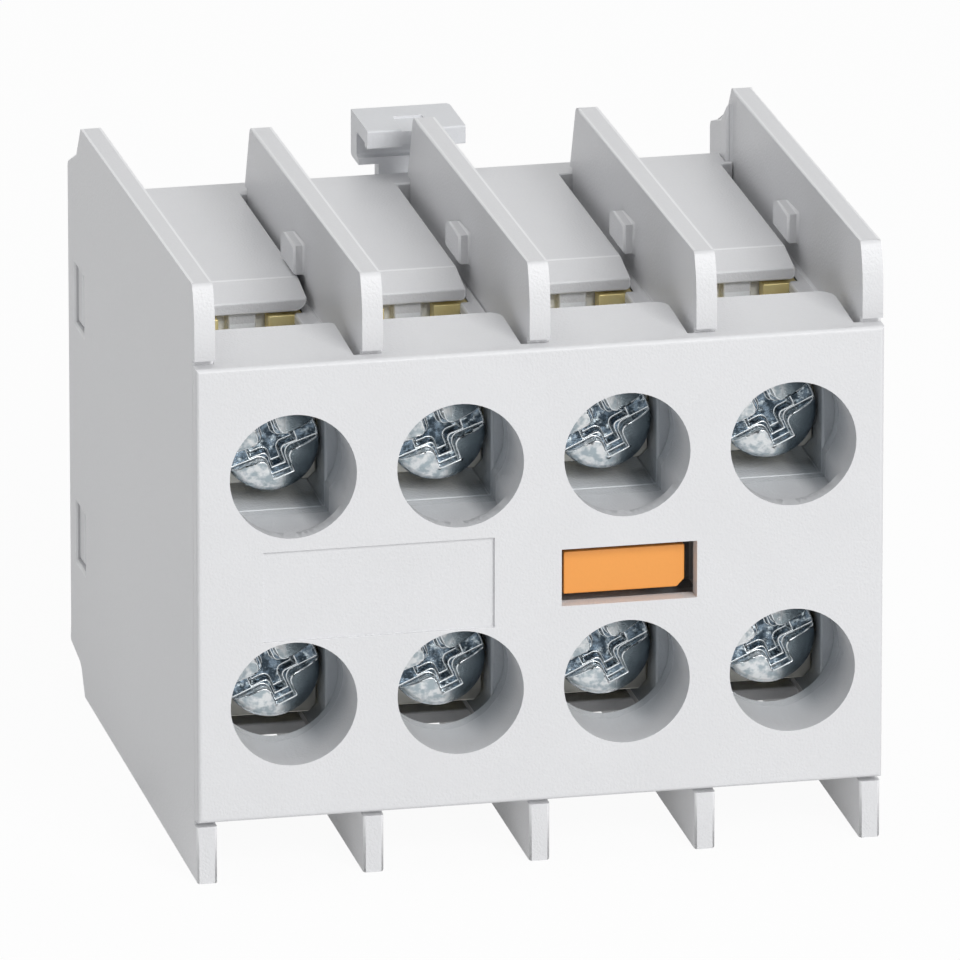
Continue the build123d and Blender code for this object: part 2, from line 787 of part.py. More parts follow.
for pole, x in enumerate(pole_x):
    write_bridge(pole, x)
    for row, side in (("upper", 1), ("lower", -1)):
        name = f"{row}_{pole + 1}"
        write_terminal(name, pole, x, side)
        angle = screw_angles[pole + (0 if side > 0 else pole_count)]
        write_screw(name, x, side * row_z, side, angle)
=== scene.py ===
# %% [markdown]
# # Auxiliary contact block
# A contact block clips on to the front of a contactor and gives it extra signal contacts. This lesson
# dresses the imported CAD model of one: grey moulded shells, plated clamp screws down round wells, brass
# terminals between partition plates, an orange position flag and a release latch.
# The CAD model is loaded first as a fixed frame. Every piece made here rides on one of its bodies, so
# it still works when the screws turn or the contacts travel.

# %% Load the frame
import json
from math import pi, radians

import bmesh
import bpy
from mathutils import Matrix, Vector

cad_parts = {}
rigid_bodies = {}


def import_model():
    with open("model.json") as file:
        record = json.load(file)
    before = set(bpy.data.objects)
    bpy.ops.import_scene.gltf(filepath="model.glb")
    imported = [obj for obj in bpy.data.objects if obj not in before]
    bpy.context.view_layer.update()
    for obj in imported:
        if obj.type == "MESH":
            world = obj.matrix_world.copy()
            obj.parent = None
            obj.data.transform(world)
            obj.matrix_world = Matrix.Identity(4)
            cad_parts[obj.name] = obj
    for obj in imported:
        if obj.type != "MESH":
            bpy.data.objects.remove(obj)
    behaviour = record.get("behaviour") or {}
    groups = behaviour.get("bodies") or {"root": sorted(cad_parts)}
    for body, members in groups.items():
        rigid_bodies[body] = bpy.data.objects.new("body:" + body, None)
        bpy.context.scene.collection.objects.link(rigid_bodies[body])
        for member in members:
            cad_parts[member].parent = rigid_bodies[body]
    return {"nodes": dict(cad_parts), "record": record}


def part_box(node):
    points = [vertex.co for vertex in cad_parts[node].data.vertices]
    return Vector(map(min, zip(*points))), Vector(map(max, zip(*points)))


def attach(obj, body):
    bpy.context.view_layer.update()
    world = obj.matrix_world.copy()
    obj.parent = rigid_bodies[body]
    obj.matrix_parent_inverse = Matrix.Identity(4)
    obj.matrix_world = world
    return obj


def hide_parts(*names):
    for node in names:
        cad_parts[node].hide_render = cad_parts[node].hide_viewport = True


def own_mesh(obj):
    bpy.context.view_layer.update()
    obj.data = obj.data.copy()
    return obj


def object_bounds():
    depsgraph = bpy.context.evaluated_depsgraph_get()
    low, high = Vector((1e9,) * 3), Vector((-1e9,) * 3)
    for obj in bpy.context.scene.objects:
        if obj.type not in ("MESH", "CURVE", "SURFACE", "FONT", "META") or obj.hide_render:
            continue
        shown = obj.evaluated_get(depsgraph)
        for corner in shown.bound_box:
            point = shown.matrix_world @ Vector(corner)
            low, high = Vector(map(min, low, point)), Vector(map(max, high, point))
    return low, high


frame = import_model()
cad_low, cad_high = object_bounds()
MM = 0.001
print("the model measures", [round(v / MM, 2) for v in cad_high - cad_low], "mm")

# %% [markdown]
# ## Names for the places that matter
# The row frame has its origin on the rear face, X across the poles, Y towards the contactor and Z up.
# The photograph shows the front, so it helps to count depth from there: `y_at(6)` is 6 mm behind the
# front face. These few sizes repeat the model's own, and everything below is placed with them.

# %% Sizes taken over from the model
DEPTH = 41.8
PITCH = 10.67
X0 = 0.15 - 1.5 * PITCH
POLE_X = [X0 + i * PITCH for i in range(4)]
ROW_Z = 7.47
ROWS = {"upper": 1, "lower": -1}
HEAD_FRONT = 6.0
HEAD_REAR = 8.3
SHANK_R = 1.75
SHANK_END = 18.3


def y_at(depth):
    """Y in metres of a plane that lies depth millimetres behind the front face."""
    return (depth - DEPTH) * MM


# %% [markdown]
# ## Writing shader sums as Python
# A procedural material is a little sum: some noise, stretched, tinted, added. Wiring it node by node
# hides the sum, so a small class wraps a socket and lets the usual operators build the Math nodes.
# Every other node of a finish comes from one method, `node`, which sets the node up and then feeds it.


# %% The socket class and the finish class
class Socket:
    """A shader value that takes part in Python sums."""

    def __init__(self, finish, link):
        self.finish = finish
        self.link = link

    def sum_with(self, operation, first, second):
        return self.finish.node("Math", {"operation": operation}, {0: first, 1: second})

    def __add__(self, other):
        return self.sum_with("ADD", self, other)

    def __radd__(self, other):
        return self.sum_with("ADD", other, self)

    def __sub__(self, other):
        return self.sum_with("SUBTRACT", self, other)

    def __rsub__(self, other):
        return self.sum_with("SUBTRACT", other, self)

    def __mul__(self, other):
        return self.sum_with("MULTIPLY", self, other)

    def __rmul__(self, other):
        return self.sum_with("MULTIPLY", other, self)


class Finish:
    """A node material around one Principled shader."""

    def __init__(self, name, **constants):
        self.material = bpy.data.materials.new(name)
        self.material.use_nodes = True
        self.tree = self.material.node_tree
        self.shader = self.tree.nodes["Principled BSDF"]
        for key, value in constants.items():
            self.feed(self.shader.inputs[key.replace("_", " ")], value)

    def feed(self, socket, value):
        if isinstance(value, Socket):
            self.tree.links.new(value.link, socket)
        elif isinstance(value, tuple) and len(value) == 3 and socket.type == "RGBA":
            socket.default_value = (*value, 1)
        else:
            socket.default_value = value

    def node(self, kind, settings, sockets, out=0):
        made = self.tree.nodes.new("ShaderNode" + kind)
        for key, value in settings.items():
            if key == "stops":
                for spot, grey in zip(made.color_ramp.elements, value):
                    spot.position = grey[0]
                    spot.color = (grey[1], grey[1], grey[1], 1)
            else:
                setattr(made, key, value)
        for key, value in sockets.items():
            self.feed(made.inputs[key], value)
        return Socket(self, made.outputs[out])

    def place(self, stretch=(1, 1, 1)):
        """Object coordinates in millimetres, stretched."""
        spot = self.node("TexCoord", {}, {}, "Object")
        scale = tuple(s / MM for s in stretch)
        return self.node("Mapping", {}, {"Vector": spot, "Scale": scale})

    def axis(self, letter):
        """One object coordinate in metres."""
        spot = self.node("TexCoord", {}, {}, "Object")
        return self.node("SeparateXYZ", {}, {"Vector": spot}, letter)

    def limits(self, letter, low, high):
        """1 where a coordinate lies between two limits, of which the low one may be None."""
        spot = self.axis(letter)
        above = 1 if low is None else spot.sum_with("GREATER_THAN", spot, low)
        return above * spot.sum_with("LESS_THAN", spot, high)

    def lane(self):
        """0 to 1 across each pole, with the pole's axis at 0.5."""
        across = (self.axis("X") - X0 * MM) * (1 / PITCH / MM) + 0.5
        return self.node("Math", {"operation": "FRACT"}, {0: across})

    def noise(self, size, detail=2.0, stretch=(1, 1, 1)):
        """Cloudy noise whose lumps are size millimetres across, from 0 to 1."""
        sockets = {"Vector": self.place(stretch), "Scale": 1 / size, "Detail": detail}
        return self.node("TexNoise", {}, sockets, "Fac")

    def blend(self, share, low, high):
        """Colour between low and high."""
        return self.node("Mix", {"data_type": "RGBA"}, {0: share, 6: low, 7: high}, 2)

    def ramp(self, value, start, end):
        """0 below start, 1 above end."""
        return self.node("ValToRGB", {"stops": ((start, 0), (end, 1))}, {"Fac": value})

    def body(self):
        """The shader itself, for a mix with another."""
        return Socket(self, self.shader.outputs["BSDF"])

    def paint(self, **surface):
        for key, value in surface.items():
            self.feed(self.shader.inputs[key.replace("_", " ")], value)

    def bump(self, height, depth):
        """Bump of so many millimetres, fed to Normal."""
        self.paint(Normal=self.node("Bump", {}, {"Height": height, "Distance": depth * MM}))


# %% [markdown]
# ## Moulded plastic
# The shells are glass-filled nylon in a cool light grey. Up close such plastic is not flat: the mould
# was spark-eroded, which leaves a fine grain, and the resin flows unevenly, which leaves faint clouds.
# Down the screwdriver wells the walls are glossier, and their colour holds painted light, pale, with painted
# shade in grey right of the screw.
# One function makes each plastic from its colour, so that they stay related.


# %% Plastics
SHELL_GREY = (0.755, 0.757, 0.77)
# The edge grey is a painted highlight for the bevel faces along the shells' edges.
EDGE_HIGHLIGHT_GREY = (0.90, 0.903, 0.915)
# Painted light and painted shade for the well walls: pale where light falls in, grey right of the screw.
WELL_PAINTED_LIGHT = (0.95, 0.97, 0.99)
WELL_PAINTED_SHADE = (0.42, 0.455, 0.49)
WELL_MOUTH = 1.6
WELL_END = 18.0
WELLS_HALF_X = 21.4
WELLS_HALF_Z = 12.6
WELL_FADE = 5.0
WELL_POLISH = 0.2
RIGHT_OF_SCREW = (0.62, 0.72)


def plastic(name, colour, roughness, wells=False, grain=0.22, grain_depth=0.018, clouds=0.035):
    """Grained moulded plastic with faint clouds in colour and gloss, and with polished wells in painted
    light and shade if asked.
    """
    made = Finish(name, IOR=1.5)
    cloud = made.noise(6.0, 3.0)
    speck = made.noise(grain, 2.0)
    low = tuple(c * (1 - clouds) for c in colour)
    high = tuple(min(1, c * (1 + clouds)) for c in colour)
    skin = made.blend(0.6 * cloud + 0.4 * speck, low, high)
    gloss = roughness - 0.06 + 0.12 * cloud
    if wells:
        deep = made.ramp((made.axis("Y") - y_at(WELL_MOUTH)) * (1 / WELL_FADE / MM), 0.0, 1.0)
        before = made.limits("Y", None, y_at(WELL_END))
        between = made.limits("X", -WELLS_HALF_X * MM, WELLS_HALF_X * MM)
        among = made.limits("Z", -WELLS_HALF_Z * MM, WELLS_HALF_Z * MM)
        bore = deep * before * (between * among)
        # Painted light and painted shade in the wells: pale across each lane, grey right of the screw.
        painted_well_light_shade = made.blend(made.ramp(made.lane(), *RIGHT_OF_SCREW), WELL_PAINTED_LIGHT, WELL_PAINTED_SHADE)
        skin = made.blend(bore, skin, painted_well_light_shade)
        gloss = gloss - WELL_POLISH * bore
    made.paint(Base_Color=skin)
    made.paint(Roughness=gloss)
    made.bump(speck, grain_depth)
    return made.material


SHELL = plastic("grained_grey", SHELL_GREY, 0.4, wells=True, grain=0.16, grain_depth=0.03, clouds=0.05)
# The edge finish paints a highlight on the bevel faces of the shells and the latch.
SHELL_EDGE_HIGHLIGHT = plastic("grey_edge_highlight", EDGE_HIGHLIGHT_GREY, 0.34, wells=True, grain=0.16, clouds=0.04)
LATCH = plastic("latch_grey", (0.73, 0.74, 0.76), 0.4, grain=0.16, grain_depth=0.025)
CARRIER = plastic("carrier_black", (0.035, 0.036, 0.04), 0.4, grain_depth=0.006)
FLAG = plastic("flag_orange", (0.90, 0.37, 0.08), 0.38, grain_depth=0.008, clouds=0.05)

# %% [markdown]
# ## Metals
# The screws are steel with bright zinc, which looks bluish and a little cloudy. One side of each head is
# painted pale as painted light, its edges are rubbed and paler, which also paints a highlight on them, and
# its recess is painted dark as painted shade, with painted glints. The washers have duller zinc. The
# terminals are stamped brass with marks along the strip, the contact tips are silver that has dulled, and
# the springs are drawn wire. A metal shows its surroundings, so most of its look is in how rough it is and
# how the roughness wanders.

# %% Metal finishes
# Paler zinc on the bevel faces of the heads: rubbed edges, and also a painted highlight along the rims.
rubbed_rim_highlight = Finish("rubbed_zinc_edge_highlight", Metallic=1.0)
rubbed_rim_highlight_spot = rubbed_rim_highlight.noise(0.3, 2.0)
rubbed_rim_highlight.paint(Base_Color=rubbed_rim_highlight.blend(rubbed_rim_highlight_spot, (0.80, 0.86, 0.88), (0.98, 0.99, 1.0)))
rubbed_rim_highlight.paint(Roughness=0.2 + 0.15 * rubbed_rim_highlight_spot)
RUBBED_RIM_HIGHLIGHT = rubbed_rim_highlight.material

RECESS_FROM = HEAD_FRONT + 0.45
PLAIN_SIDE = (0.52, 0.6)

zinc = Finish("bright_zinc")
zinc_cloud = zinc.noise(1.1, 3.0)
zinc_scratch = zinc.noise(0.25, 3.0, (1, 1, 5))
sunk = zinc.ramp((zinc.axis("Y") - y_at(RECESS_FROM)) * (1 / MM), 0.0, 0.4)
# Painted glints for the recess.
zinc_painted_glint = zinc.ramp(zinc.noise(0.3, 5.0), 0.5, 0.68)
# Painted light: the left side of each head is painted pale, and the right side keeps the plain zinc.
zinc_painted_lit_side = zinc.blend(zinc.ramp(zinc.noise(0.5, 4.0), 0.4, 0.58), (0.50, 0.58, 0.62), (0.98, 1.0, 1.0))
zinc_plain = zinc.blend(zinc_cloud, (0.19, 0.24, 0.27), (0.36, 0.42, 0.45))
unlit_side = zinc.ramp(zinc.lane(), *PLAIN_SIDE)
zinc_skin = zinc.blend(unlit_side, zinc_painted_lit_side, zinc_plain)
# The recess is painted dark as painted shade, with the painted glints in it.
zinc_painted_shade = zinc.blend(zinc.ramp(zinc.noise(0.45, 4.0), 0.42, 0.62), (0.05, 0.07, 0.09), (0.23, 0.30, 0.37))
zinc_recess_shade_and_glints = zinc.blend(zinc_painted_glint * zinc.ramp(zinc_cloud, 0.42, 0.56), zinc_painted_shade, (0.80, 0.90, 0.95))
zinc.paint(Base_Color=zinc.blend(sunk, zinc_skin, zinc_recess_shade_and_glints))
zinc.paint(Metallic=1 - 0.75 * (1 - unlit_side) * (1 - sunk))
zinc.paint(Roughness=0.14 + 0.16 * zinc_cloud)
zinc.bump(zinc_cloud + 0.6 * zinc_scratch, 0.05)
ZINC = zinc.material

washer_steel = Finish("dull_zinc", Metallic=1.0)
washer_cloud = washer_steel.noise(0.9, 3.0)
washer_steel.paint(Base_Color=washer_steel.blend(washer_cloud, (0.30, 0.30, 0.28), (0.52, 0.51, 0.47)))
washer_steel.paint(Roughness=0.35 + 0.2 * washer_cloud)
washer_steel.bump(washer_cloud, 0.02)
DULL_ZINC = washer_steel.material

brass = Finish("stamped_brass", Metallic=0.4)
brass_mark = brass.noise(0.35, 3.0, (4, 1, 1))
brass_cloud = brass.noise(1.2, 3.0)
brass.paint(Base_Color=brass.blend(brass_cloud, (0.90, 0.70, 0.26), (1.0, 0.90, 0.52)))
brass.paint(Roughness=0.3 + 0.2 * brass_mark)
brass.bump(brass_mark, 0.02)
BRASS = brass.material

silver = Finish("dull_silver", Metallic=1.0)
silver_cloud = silver.noise(0.5, 3.0)
silver.paint(Base_Color=silver.blend(silver_cloud, (0.62, 0.61, 0.58), (0.86, 0.85, 0.82)))
silver.paint(Roughness=0.3 + 0.2 * silver_cloud)
silver.bump(silver_cloud, 0.01)
SILVER = silver.material

wire = Finish("drawn_wire", Metallic=1.0)
wire_cloud = wire.noise(0.4, 2.0)
wire.paint(Base_Color=wire.blend(wire_cloud, (0.42, 0.42, 0.44), (0.66, 0.66, 0.68)))
wire.paint(Roughness=0.25 + 0.15 * wire_cloud)
WIRE = wire.material

# %% [markdown]
# ## Softened copies of the hard pieces
# No moulded or stamped edge is razor sharp, and the thin bright line along each edge is what makes a
# render look like a photograph. A bevel on the CAD mesh would do it, but that mesh is fixed. So each
# piece is copied, its doubled vertices are merged, its flat triangles joined, and a Bevel modifier
# rounds what is sharper than a set angle. The copy replaces the node and rides on the same body.
# The faces of the bevel may have a finish of their own, paler than the rest, which paints a highlight along
# the edge.

# %% The function for softened copies
CREASE = 35
FINE_MERGE = 0.002
made_pieces = {}
BODY_OF = {node: body for body, nodes in frame["record"]["behaviour"]["bodies"].items() for node in nodes}


def shape_of(node, merge=FINE_MERGE):
    """A mesh to work on, merged from the node's loose triangles."""
    shape = bmesh.new()
    shape.from_mesh(frame["nodes"][node].data)
    bmesh.ops.remove_doubles(shape, verts=shape.verts, dist=merge * MM)
    bmesh.ops.dissolve_limit(shape, angle_limit=radians(0.6), verts=shape.verts, edges=shape.edges)
    return shape


def finish_piece(shape, name, node, material, smooth_below=CREASE):
    """Turn a bmesh into a piece that replaces a node and rides on its body."""
    mesh = bpy.data.meshes.new(name)
    shape.to_mesh(mesh)
    shape.free()
    for face in mesh.polygons:
        face.use_smooth = True
    mesh.set_sharp_from_angle(angle=radians(smooth_below))
    mesh.materials.clear()
    mesh.materials.append(material)
    piece = bpy.data.objects.new(name, mesh)
    bpy.context.scene.collection.objects.link(piece)
    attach(piece, BODY_OF[node])
    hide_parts(node)
    made_pieces[name] = piece
    return piece


def soften(piece, width, angle=CREASE, edge=None, clamp=True):
    """Round the edges of a piece that are sharper than an angle, in a paler finish of their own if given,
    which paints a highlight on them.
    """
    bevel = piece.modifiers.new("soft_edges", "BEVEL")
    bevel.use_clamp_overlap = clamp
    if edge:
        piece.data.materials.append(edge)
        bevel.material = 1
    bevel.width = width * MM
    bevel.segments = 2
    bevel.limit_method = "ANGLE"
    bevel.angle_limit = radians(angle)
    bevel.harden_normals = True
    return piece


# %% [markdown]
# ## The grey shells
# The front cover, the housing with its partition plates, and the rear cover with its roofs are three
# mouldings. Their edges are rounded by about a tenth of a millimetre, and weighted normals keep the
# large flat faces flat. The nubs on the plates are thinner than the CAD ones, so they are drawn in.

# %% Shells and latch
PLATE_T = 1.32
NUB_W = 1.2
NUB_TRIM = 0.45
NEARLY = 0.02
LONG_EDGE = 1.8
ROOF_CREASE = 10


def draw_in_nubs(shape):
    """Move the nubs' outer faces towards the plates that carry them."""
    faces_at = [(i - 1) * PITCH - PLATE_T / 2 - NUB_W for i in range(4)]
    nubs = [v for v in shape.verts if min(abs(v.co.x - x * MM) for x in faces_at) < NEARLY * MM]
    bmesh.ops.translate(shape, verts=nubs, vec=(NUB_TRIM * MM, 0, 0))
    print("nub corners drawn in:", len(nubs))


def weigh_long_edges(shape):
    """Mark the long sharp edges for the bevel, which would fold over itself on the tiny ones."""
    weight = shape.edges.layers.float.new("bevel_weight_edge")
    for edge in shape.edges:
        edge[weight] = edge.calc_length() > LONG_EDGE * MM and edge.calc_face_angle(0) > radians(CREASE)


def soften_shell(shape, node, width, angle=CREASE, clamp=False, method="ANGLE"):
    """Finish one of the grey shells, with rounded edges whose pale finish paints a highlight, and flat
    faces.
    """
    shell = finish_piece(shape, node + "_shell", node, SHELL, angle)
    bevel = soften(shell, width, angle, SHELL_EDGE_HIGHLIGHT, clamp).modifiers["soft_edges"]
    bevel.harden_normals = False
    bevel.limit_method = method
    shell.modifiers.new("flat_faces", "WEIGHTED_NORMAL").keep_sharp = True


soften_shell(shape_of("front_cover"), "front_cover", 0.1, clamp=True)
housing = shape_of("housing", merge=0.06)
draw_in_nubs(housing)
weigh_long_edges(housing)
soften_shell(housing, "housing", 0.16, method="WEIGHT")
soften_shell(shape_of("rear_cover"), "rear_cover", 0.12, angle=ROOF_CREASE)
soften(finish_piece(shape_of("release_latch"), "latch_shell", "release_latch", LATCH), 0.1, edge=SHELL_EDGE_HIGHLIGHT)
soften(finish_piece(shape_of("indicator"), "position_flag", "indicator", FLAG), 0.08)
soften(finish_piece(shape_of("contact_carrier"), "carrier_frame", "contact_carrier", CARRIER), 0.08)
print("shells:", ", ".join(made_pieces))

# %% [markdown]
# ## Clamp screws
# Each clamp screw is turned and cold-headed: a low dome, a slot that runs out at the rim, and a cross
# recess whose inner corners are rounded by the punch. The CAD screw keeps only a plain cross, so the
# real head is made here. Its side profile is spun round the axis, and two punches are then driven in as
# Boolean cutters: a long cross for the slot and its side arms, and a short deep one for the driver.
# The eight slots stand at slightly different angles, as the screws were left when they were driven.

# %% The turned blank
HEAD_R = 3.1
SLOT_ANGLES = {"upper": (19, 20, 25, 25), "lower": (24, 24, 26, 24)}
HEAD_CREASE = 30
RIM_CHAMFER = 0.1
TIP_CHAMFER = 0.4
THREAD_PITCH = 0.6
THREAD_ROOT = 1.44
DOME = ((0.0, 0.0), (0.9, 0.02), (1.6, 0.1), (2.15, 0.22), (2.6, 0.4), (2.9, 0.63), (3.05, 0.9), (3.1, 1.2))


def turned_blank(axis_point):
    """Head and shank of one screw, spun from its profile of (radius, depth behind the head's face)."""
    head_h = HEAD_REAR - HEAD_FRONT
    reach = SHANK_END - HEAD_FRONT
    shank = ((HEAD_R, head_h - RIM_CHAMFER), (HEAD_R - RIM_CHAMFER, head_h), (THREAD_ROOT, head_h))
    tip = ((THREAD_ROOT, reach - TIP_CHAMFER), (THREAD_ROOT - TIP_CHAMFER, reach), (0.0, reach))
    shape = bmesh.new()
    start = Vector((0, y_at(HEAD_FRONT), 0))
    verts = [shape.verts.new(axis_point + start + Vector((r, d, 0)) * MM) for r, d in DOME + shank + tip]
    edges = [shape.edges.new(pair) for pair in zip(verts, verts[1:])]
    bmesh.ops.spin(
        shape, geom=verts + edges, cent=axis_point, axis=(0, 1, 0), angle=2 * pi, steps=64, use_merge=True
    )
    bmesh.ops.remove_doubles(shape, verts=shape.verts, dist=FINE_MERGE * MM)
    bmesh.ops.recalc_face_normals(shape, faces=shape.faces)
    return shape


# %% The punches
SLOT_PUNCH = dict(long_arm=4.0, long_w=1.05, short_arm=1.95, short_w=1.35, depth=0.95, taper=1.0)
DRIVER_PUNCH = dict(long_arm=1.9, long_w=0.8, short_arm=1.75, short_w=0.95, depth=1.75, taper=0.75)
PUNCH_CORNER = 0.5
PUNCH_START = HEAD_FRONT - 1
TINY_EDGE = 0.02


def punch(axis_point, turn, long_arm, long_w, short_arm, short_w, depth, taper):
    """A cross-shaped cutter: two bars crossed in one outline, its inner corners rounded, then extruded."""
    shape = bmesh.new()
    a, b = long_w / 2, short_w / 2
    corner = [(long_arm, -a), (long_arm, a), (b, a), (b, short_arm), (-b, short_arm), (-b, a)]
    corner += [(-x, -z) for x, z in corner]
    verts = [shape.verts.new((x * MM, 0, z * MM)) for x, z in corner]
    shape.faces.new(verts)
    inner = [v for v, (x, z) in zip(verts, corner) if (abs(x), abs(z)) == (b, a)]
    bmesh.ops.bevel(
        shape, geom=inner, offset=PUNCH_CORNER * MM, segments=5, profile=0.5, affect="VERTICES", material=-1
    )
    pushed = bmesh.ops.extrude_face_region(shape, geom=shape.faces[:])["geom"]
    floor_verts = [v for v in pushed if isinstance(v, bmesh.types.BMVert)]
    bmesh.ops.scale(shape, vec=(taper, 1, taper), verts=floor_verts)
    bmesh.ops.translate(shape, vec=(0, (HEAD_FRONT - PUNCH_START + depth) * MM, 0), verts=floor_verts)
    bmesh.ops.recalc_face_normals(shape, faces=shape.faces)
    place = Matrix.Translation(axis_point + Vector((0, y_at(PUNCH_START), 0)))
    bmesh.ops.transform(shape, matrix=place @ Matrix.Rotation(-radians(turn), 4, "Y"), verts=shape.verts)
    mesh = bpy.data.meshes.new("punch")
    shape.to_mesh(mesh)
    shape.free()
    return bpy.data.objects.new("punch", mesh)


def struck(shape, punches):
    """The blank after its punches, as a bmesh again."""
    mesh = bpy.data.meshes.new("blank")
    shape.to_mesh(mesh)
    shape.free()
    blank = bpy.data.objects.new("blank", mesh)
    scene_objects = bpy.context.scene.collection.objects
    for thing in [blank, *punches]:
        scene_objects.link(thing)
    for tool in punches:
        cut = blank.modifiers.new("cut", "BOOLEAN")
        cut.operation = "DIFFERENCE"
        cut.solver = "EXACT"
        cut.object = tool
    result = bpy.data.meshes.new_from_object(blank.evaluated_get(bpy.context.evaluated_depsgraph_get()))
    made = bmesh.new()
    made.from_mesh(result)
    bmesh.ops.remove_doubles(made, verts=made.verts, dist=TINY_EDGE * MM)
    bmesh.ops.dissolve_limit(made, angle_limit=radians(0.5), verts=made.verts, edges=made.edges)
    for thing in [blank, *punches]:
        bpy.data.objects.remove(thing)
    return made


# %% [markdown]
# ## Threads and washers
# A rolled thread is a ridge wound round the shank. Spinning a small section with a push along the axis
# at every step winds it, and a shank drawn in to the thread's root lets the ridge stand out. The
# washers are drawn in a little on their inner side, where the photograph shows less of them.


# %% Screws with threads
NECK = 1.4
POINT = 0.8
THREAD_SECTION = ((THREAD_ROOT - 0.03, 0.26), (SHANK_R - 0.01, 0.05))
WASHER_INNER = 3.2
WASHER_TRIM = 0.9


def wind(shape, section, centre, turns, pitch, steps_per_turn=24, axis=(0, 1, 0)):
    """Spin a closed section round an axis while it travels, and return it as it stands at the end."""
    steps = round(turns * steps_per_turn)
    push = Vector(axis) * (pitch / steps_per_turn)
    geometry = list(section.verts) + list(section.edges) + [section]
    spun = bmesh.ops.spin(
        shape,
        geom=geometry,
        cent=centre,
        axis=axis,
        dvec=push,
        angle=turns * 2 * pi,
        steps=steps,
        use_duplicate=False,
    )
    return next(part for part in spun["geom_last"] if isinstance(part, bmesh.types.BMFace))


def thread(node, axis_point):
    """The ridge of a screw's thread, wound round its shank."""
    ridge = bmesh.new()
    start = y_at(HEAD_REAR + NECK)
    (root, root_half), (crest, crest_half) = THREAD_SECTION
    profile = ((root, -root_half), (crest, -crest_half), (crest, crest_half), (root, root_half))
    corners = [ridge.verts.new((axis_point.x + r * MM, start + d * MM, axis_point.z)) for r, d in profile]
    turns = (SHANK_END - HEAD_REAR - NECK - POINT) / THREAD_PITCH
    wind(ridge, ridge.faces.new(corners), axis_point, turns, THREAD_PITCH * MM)
    bmesh.ops.recalc_face_normals(ridge, faces=ridge.faces)
    mesh = bpy.data.meshes.new(f"{node}_thread")
    ridge.to_mesh(mesh)
    ridge.free()
    mesh.materials.append(ZINC)
    wound = bpy.data.objects.new(f"{node}_thread", mesh)
    bpy.context.scene.collection.objects.link(wound)
    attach(wound, BODY_OF[node])
    return turns


for row, side in ROWS.items():
    for number, x in enumerate(POLE_X, 1):
        node = f"screw_{row}_{number}"
        axis_point = Vector((x * MM, 0, side * ROW_Z * MM))
        turn = SLOT_ANGLES[row][number - 1]
        punches = [punch(axis_point, turn, **sizes) for sizes in (SLOT_PUNCH, DRIVER_PUNCH)]
        shape = struck(turned_blank(axis_point), punches)
        head = finish_piece(shape, f"{node}_struck", node, ZINC, HEAD_CREASE)
        soften(head, 0.09, HEAD_CREASE, RUBBED_RIM_HIGHLIGHT, clamp=False)
        turns = thread(node, axis_point)
        washer = f"washer_{row}_{number}"
        plate = shape_of(washer)
        inner = [v for v in plate.verts if side * v.co.z < (ROW_Z - WASHER_INNER) * MM]
        bmesh.ops.translate(plate, verts=inner, vec=(0, 0, side * WASHER_TRIM * MM))
        soften(finish_piece(plate, f"{washer}_plated", washer, DULL_ZINC), 0.12)
print("screws wound with", round(turns, 1), "turns of thread")

# %% [markdown]
# ## Brass, silver and bridges
# The terminals are folded from brass strip, and the silver tips are riveted to them and to the
# moving bridges. They keep the CAD shapes, with the slight rounding that a punch leaves.

# %% Contact parts
for number in range(1, 5):
    for row in ROWS:
        node = f"terminal_{row}_{number}"
        soften(finish_piece(shape_of(node), node + "_brass", node, BRASS), 0.08)
        node = f"fixed_tip_{row}_{number}"
        soften(finish_piece(shape_of(node), node + "_silver", node, SILVER), 0.1)
    node = f"contact_bridge_{number}"
    soften(finish_piece(shape_of(node), node + "_brass", node, BRASS), 0.07)
    node = f"bridge_tips_{number}"
    soften(finish_piece(shape_of(node), node + "_silver", node, SILVER), 0.1)

# %% [markdown]
# ## Springs
# The CAD coils are open helices of few-sided wire. A real compression spring has round wire and ends that
# close on themselves. Three windings in a row make one: a flat end turn, the open turns, and a flat end turn
# again, each starting from the face where the last one stopped. The springs that a moving part presses on
# get a mesh of their own.


# %% Springs
END_RISE = 2.1


def coil(node, radius, wire_r, open_turns, upright=False, joint=None):
    """A compression spring with closed ends that fills the node's box, with a mesh of its own if a joint is
    named.
    """
    low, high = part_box(node)
    centre = (low + high) / 2
    axis = Vector((0, 0, 1)) if upright else Vector((0, 1, 0))
    start = centre.copy()
    if upright:
        start.z = low.z + wire_r * MM
        length = high.z - low.z - 2 * wire_r * MM
    else:
        start.y = low.y + wire_r * MM
        length = high.y - low.y - 2 * wire_r * MM
    end_rise = END_RISE * wire_r * MM
    shape = bmesh.new()
    hub = Matrix.Translation(start + Vector((radius * MM, 0, 0)))
    if upright:
        hub = hub @ Matrix.Rotation(pi / 2, 4, "X")
    made = bmesh.ops.create_circle(shape, cap_ends=True, radius=wire_r * MM, segments=12, matrix=hub)
    section = made["verts"][0].link_faces[0]
    for turns, rise in ((1, end_rise), (open_turns, length - 2 * end_rise), (1, end_rise)):
        section = wind(shape, section, start, turns, rise / turns, steps_per_turn=28, axis=tuple(axis))
    bmesh.ops.recalc_face_normals(shape, faces=shape.faces)
    spring = finish_piece(shape, node + "_wound", node, WIRE, smooth_below=50)
    if joint:
        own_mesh(spring)


coil("latch_spring", 0.75, 0.13, 4, upright=True, joint="latch_lift")
for number in (1, 2):
    coil(f"return_spring_{number}", 1.75, 0.25, 4, joint="carrier_stroke")
for number in range(1, 5):
    coil(f"contact_spring_{number}", 1.12, 0.19, 3)
print(len(made_pieces), "pieces replace their nodes")

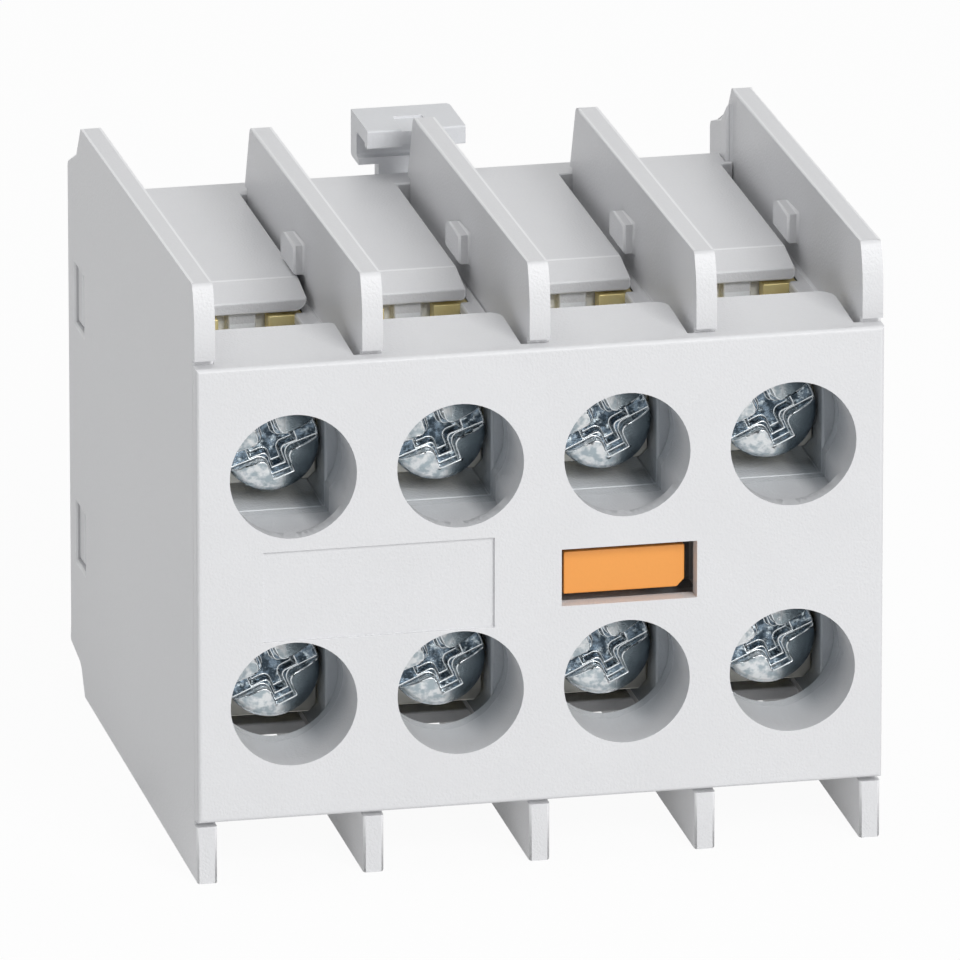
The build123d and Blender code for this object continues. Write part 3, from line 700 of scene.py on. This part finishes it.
# %% [markdown]
# ## Floor, light and camera
# The block stands on a white sweep under soft studio light, and the camera looks slightly down from
# the left with a long lens, as in the photograph. A long lens far away keeps parallel edges nearly
# parallel. The world and the paper show white to the camera and to reflections. Everything else gets
# only the paper's own colour and a weaker world, so the plastic keeps its shading.

# %% Floor
FLOOR_HALF = 3.0
FLOOR_DROP = 0.02
PAPER_GLOW = 0.95

floor_mesh = bpy.data.meshes.new("sweep")
sweep = bmesh.new()
bmesh.ops.create_grid(sweep, x_segments=1, y_segments=1, size=FLOOR_HALF)
bmesh.ops.translate(sweep, verts=sweep.verts, vec=(0, 0, cad_low.z - FLOOR_DROP * MM))
sweep.to_mesh(floor_mesh)
sweep.free()
floor = bpy.data.objects.new("sweep", floor_mesh)
bpy.context.scene.collection.objects.link(floor)
paper = Finish("white_paper", Roughness=0.9)
paper_grain = paper.noise(400.0, 2.0)
paper.paint(Base_Color=paper.blend(paper_grain, (0.78, 0.78, 0.78), (0.82, 0.82, 0.82)))
seen = paper.node("LightPath", {}, {}, "Is Camera Ray")
mirrored = paper.node("LightPath", {}, {}, "Is Glossy Ray")
passed = paper.node("LightPath", {}, {}, "Is Transmission Ray")
glow = paper.node("Emission", {}, {"Color": (1, 1, 1), "Strength": 1.0})
share = PAPER_GLOW * (seen + mirrored + passed)
both = paper.node("MixShader", {}, {0: share, 1: paper.body(), 2: glow})
paper.tree.links.new(both.link, paper.tree.nodes["Material Output"].inputs["Surface"])
floor.data.materials.append(paper.material)

# %% World
SOFT_LIGHT = 0.39

world = bpy.data.worlds.new("studio")
bpy.context.scene.world = world
world.use_nodes = True
tree = world.node_tree
shown = tree.nodes["Background"]
shown.inputs["Color"].default_value = (1, 1, 1, 1)
shown.inputs["Strength"].default_value = 1.0
lit = tree.nodes.new("ShaderNodeBackground")
lit.inputs["Color"].default_value = (0.98, 0.99, 1, 1)
lit.inputs["Strength"].default_value = SOFT_LIGHT
path = tree.nodes.new("ShaderNodeLightPath")
mixed = tree.nodes.new("ShaderNodeMixShader")
direct = tree.nodes.new("ShaderNodeMath")
direct.operation = "ADD"
direct.use_clamp = True
tree.links.new(path.outputs["Is Camera Ray"], direct.inputs[0])
tree.links.new(path.outputs["Is Glossy Ray"], direct.inputs[1])
tree.links.new(direct.outputs[0], mixed.inputs[0])
tree.links.new(lit.outputs[0], mixed.inputs[1])
tree.links.new(shown.outputs[0], mixed.inputs[2])
tree.links.new(mixed.outputs[0], tree.nodes["World Output"].inputs["Surface"])


# %% Lamps
def softbox(name, place, aim, size, watts):
    """A square area lamp that points at a spot."""
    lamp = bpy.data.lights.new(name, "AREA")
    lamp.size = size
    lamp.energy = watts
    held = bpy.data.objects.new(name, lamp)
    bpy.context.scene.collection.objects.link(held)
    held.location = place
    held.rotation_mode = "QUATERNION"
    held.rotation_quaternion = (Vector(aim) - Vector(place)).to_track_quat("-Z", "Y")
    return held


middle = (0, y_at(DEPTH / 2), 0)
softbox("front_box", (0.25, -0.78, 0.46), middle, size=0.4, watts=4.75)
softbox("top_box", (-0.2, 0.0, 0.8), middle, size=0.5, watts=0.95)

# %% Camera
CAMERA_AT = (-0.2447, -1.1554, 0.37419)
CAMERA_AIM = (0.20109, 0.93017, -0.30716)
LENS = 718.5

camera_data = bpy.data.cameras.new("camera")
camera_data.lens = LENS
camera_data.sensor_width = 36
camera = bpy.data.objects.new("camera", camera_data)
bpy.context.scene.collection.objects.link(camera)
camera.location = CAMERA_AT
camera.rotation_mode = "QUATERNION"
camera.rotation_quaternion = Vector(CAMERA_AIM).to_track_quat("-Z", "Y")
camera_data.clip_start = 0.01
camera_data.clip_end = 100
bpy.context.scene.camera = camera
bpy.context.scene.view_settings.view_transform = "Standard"
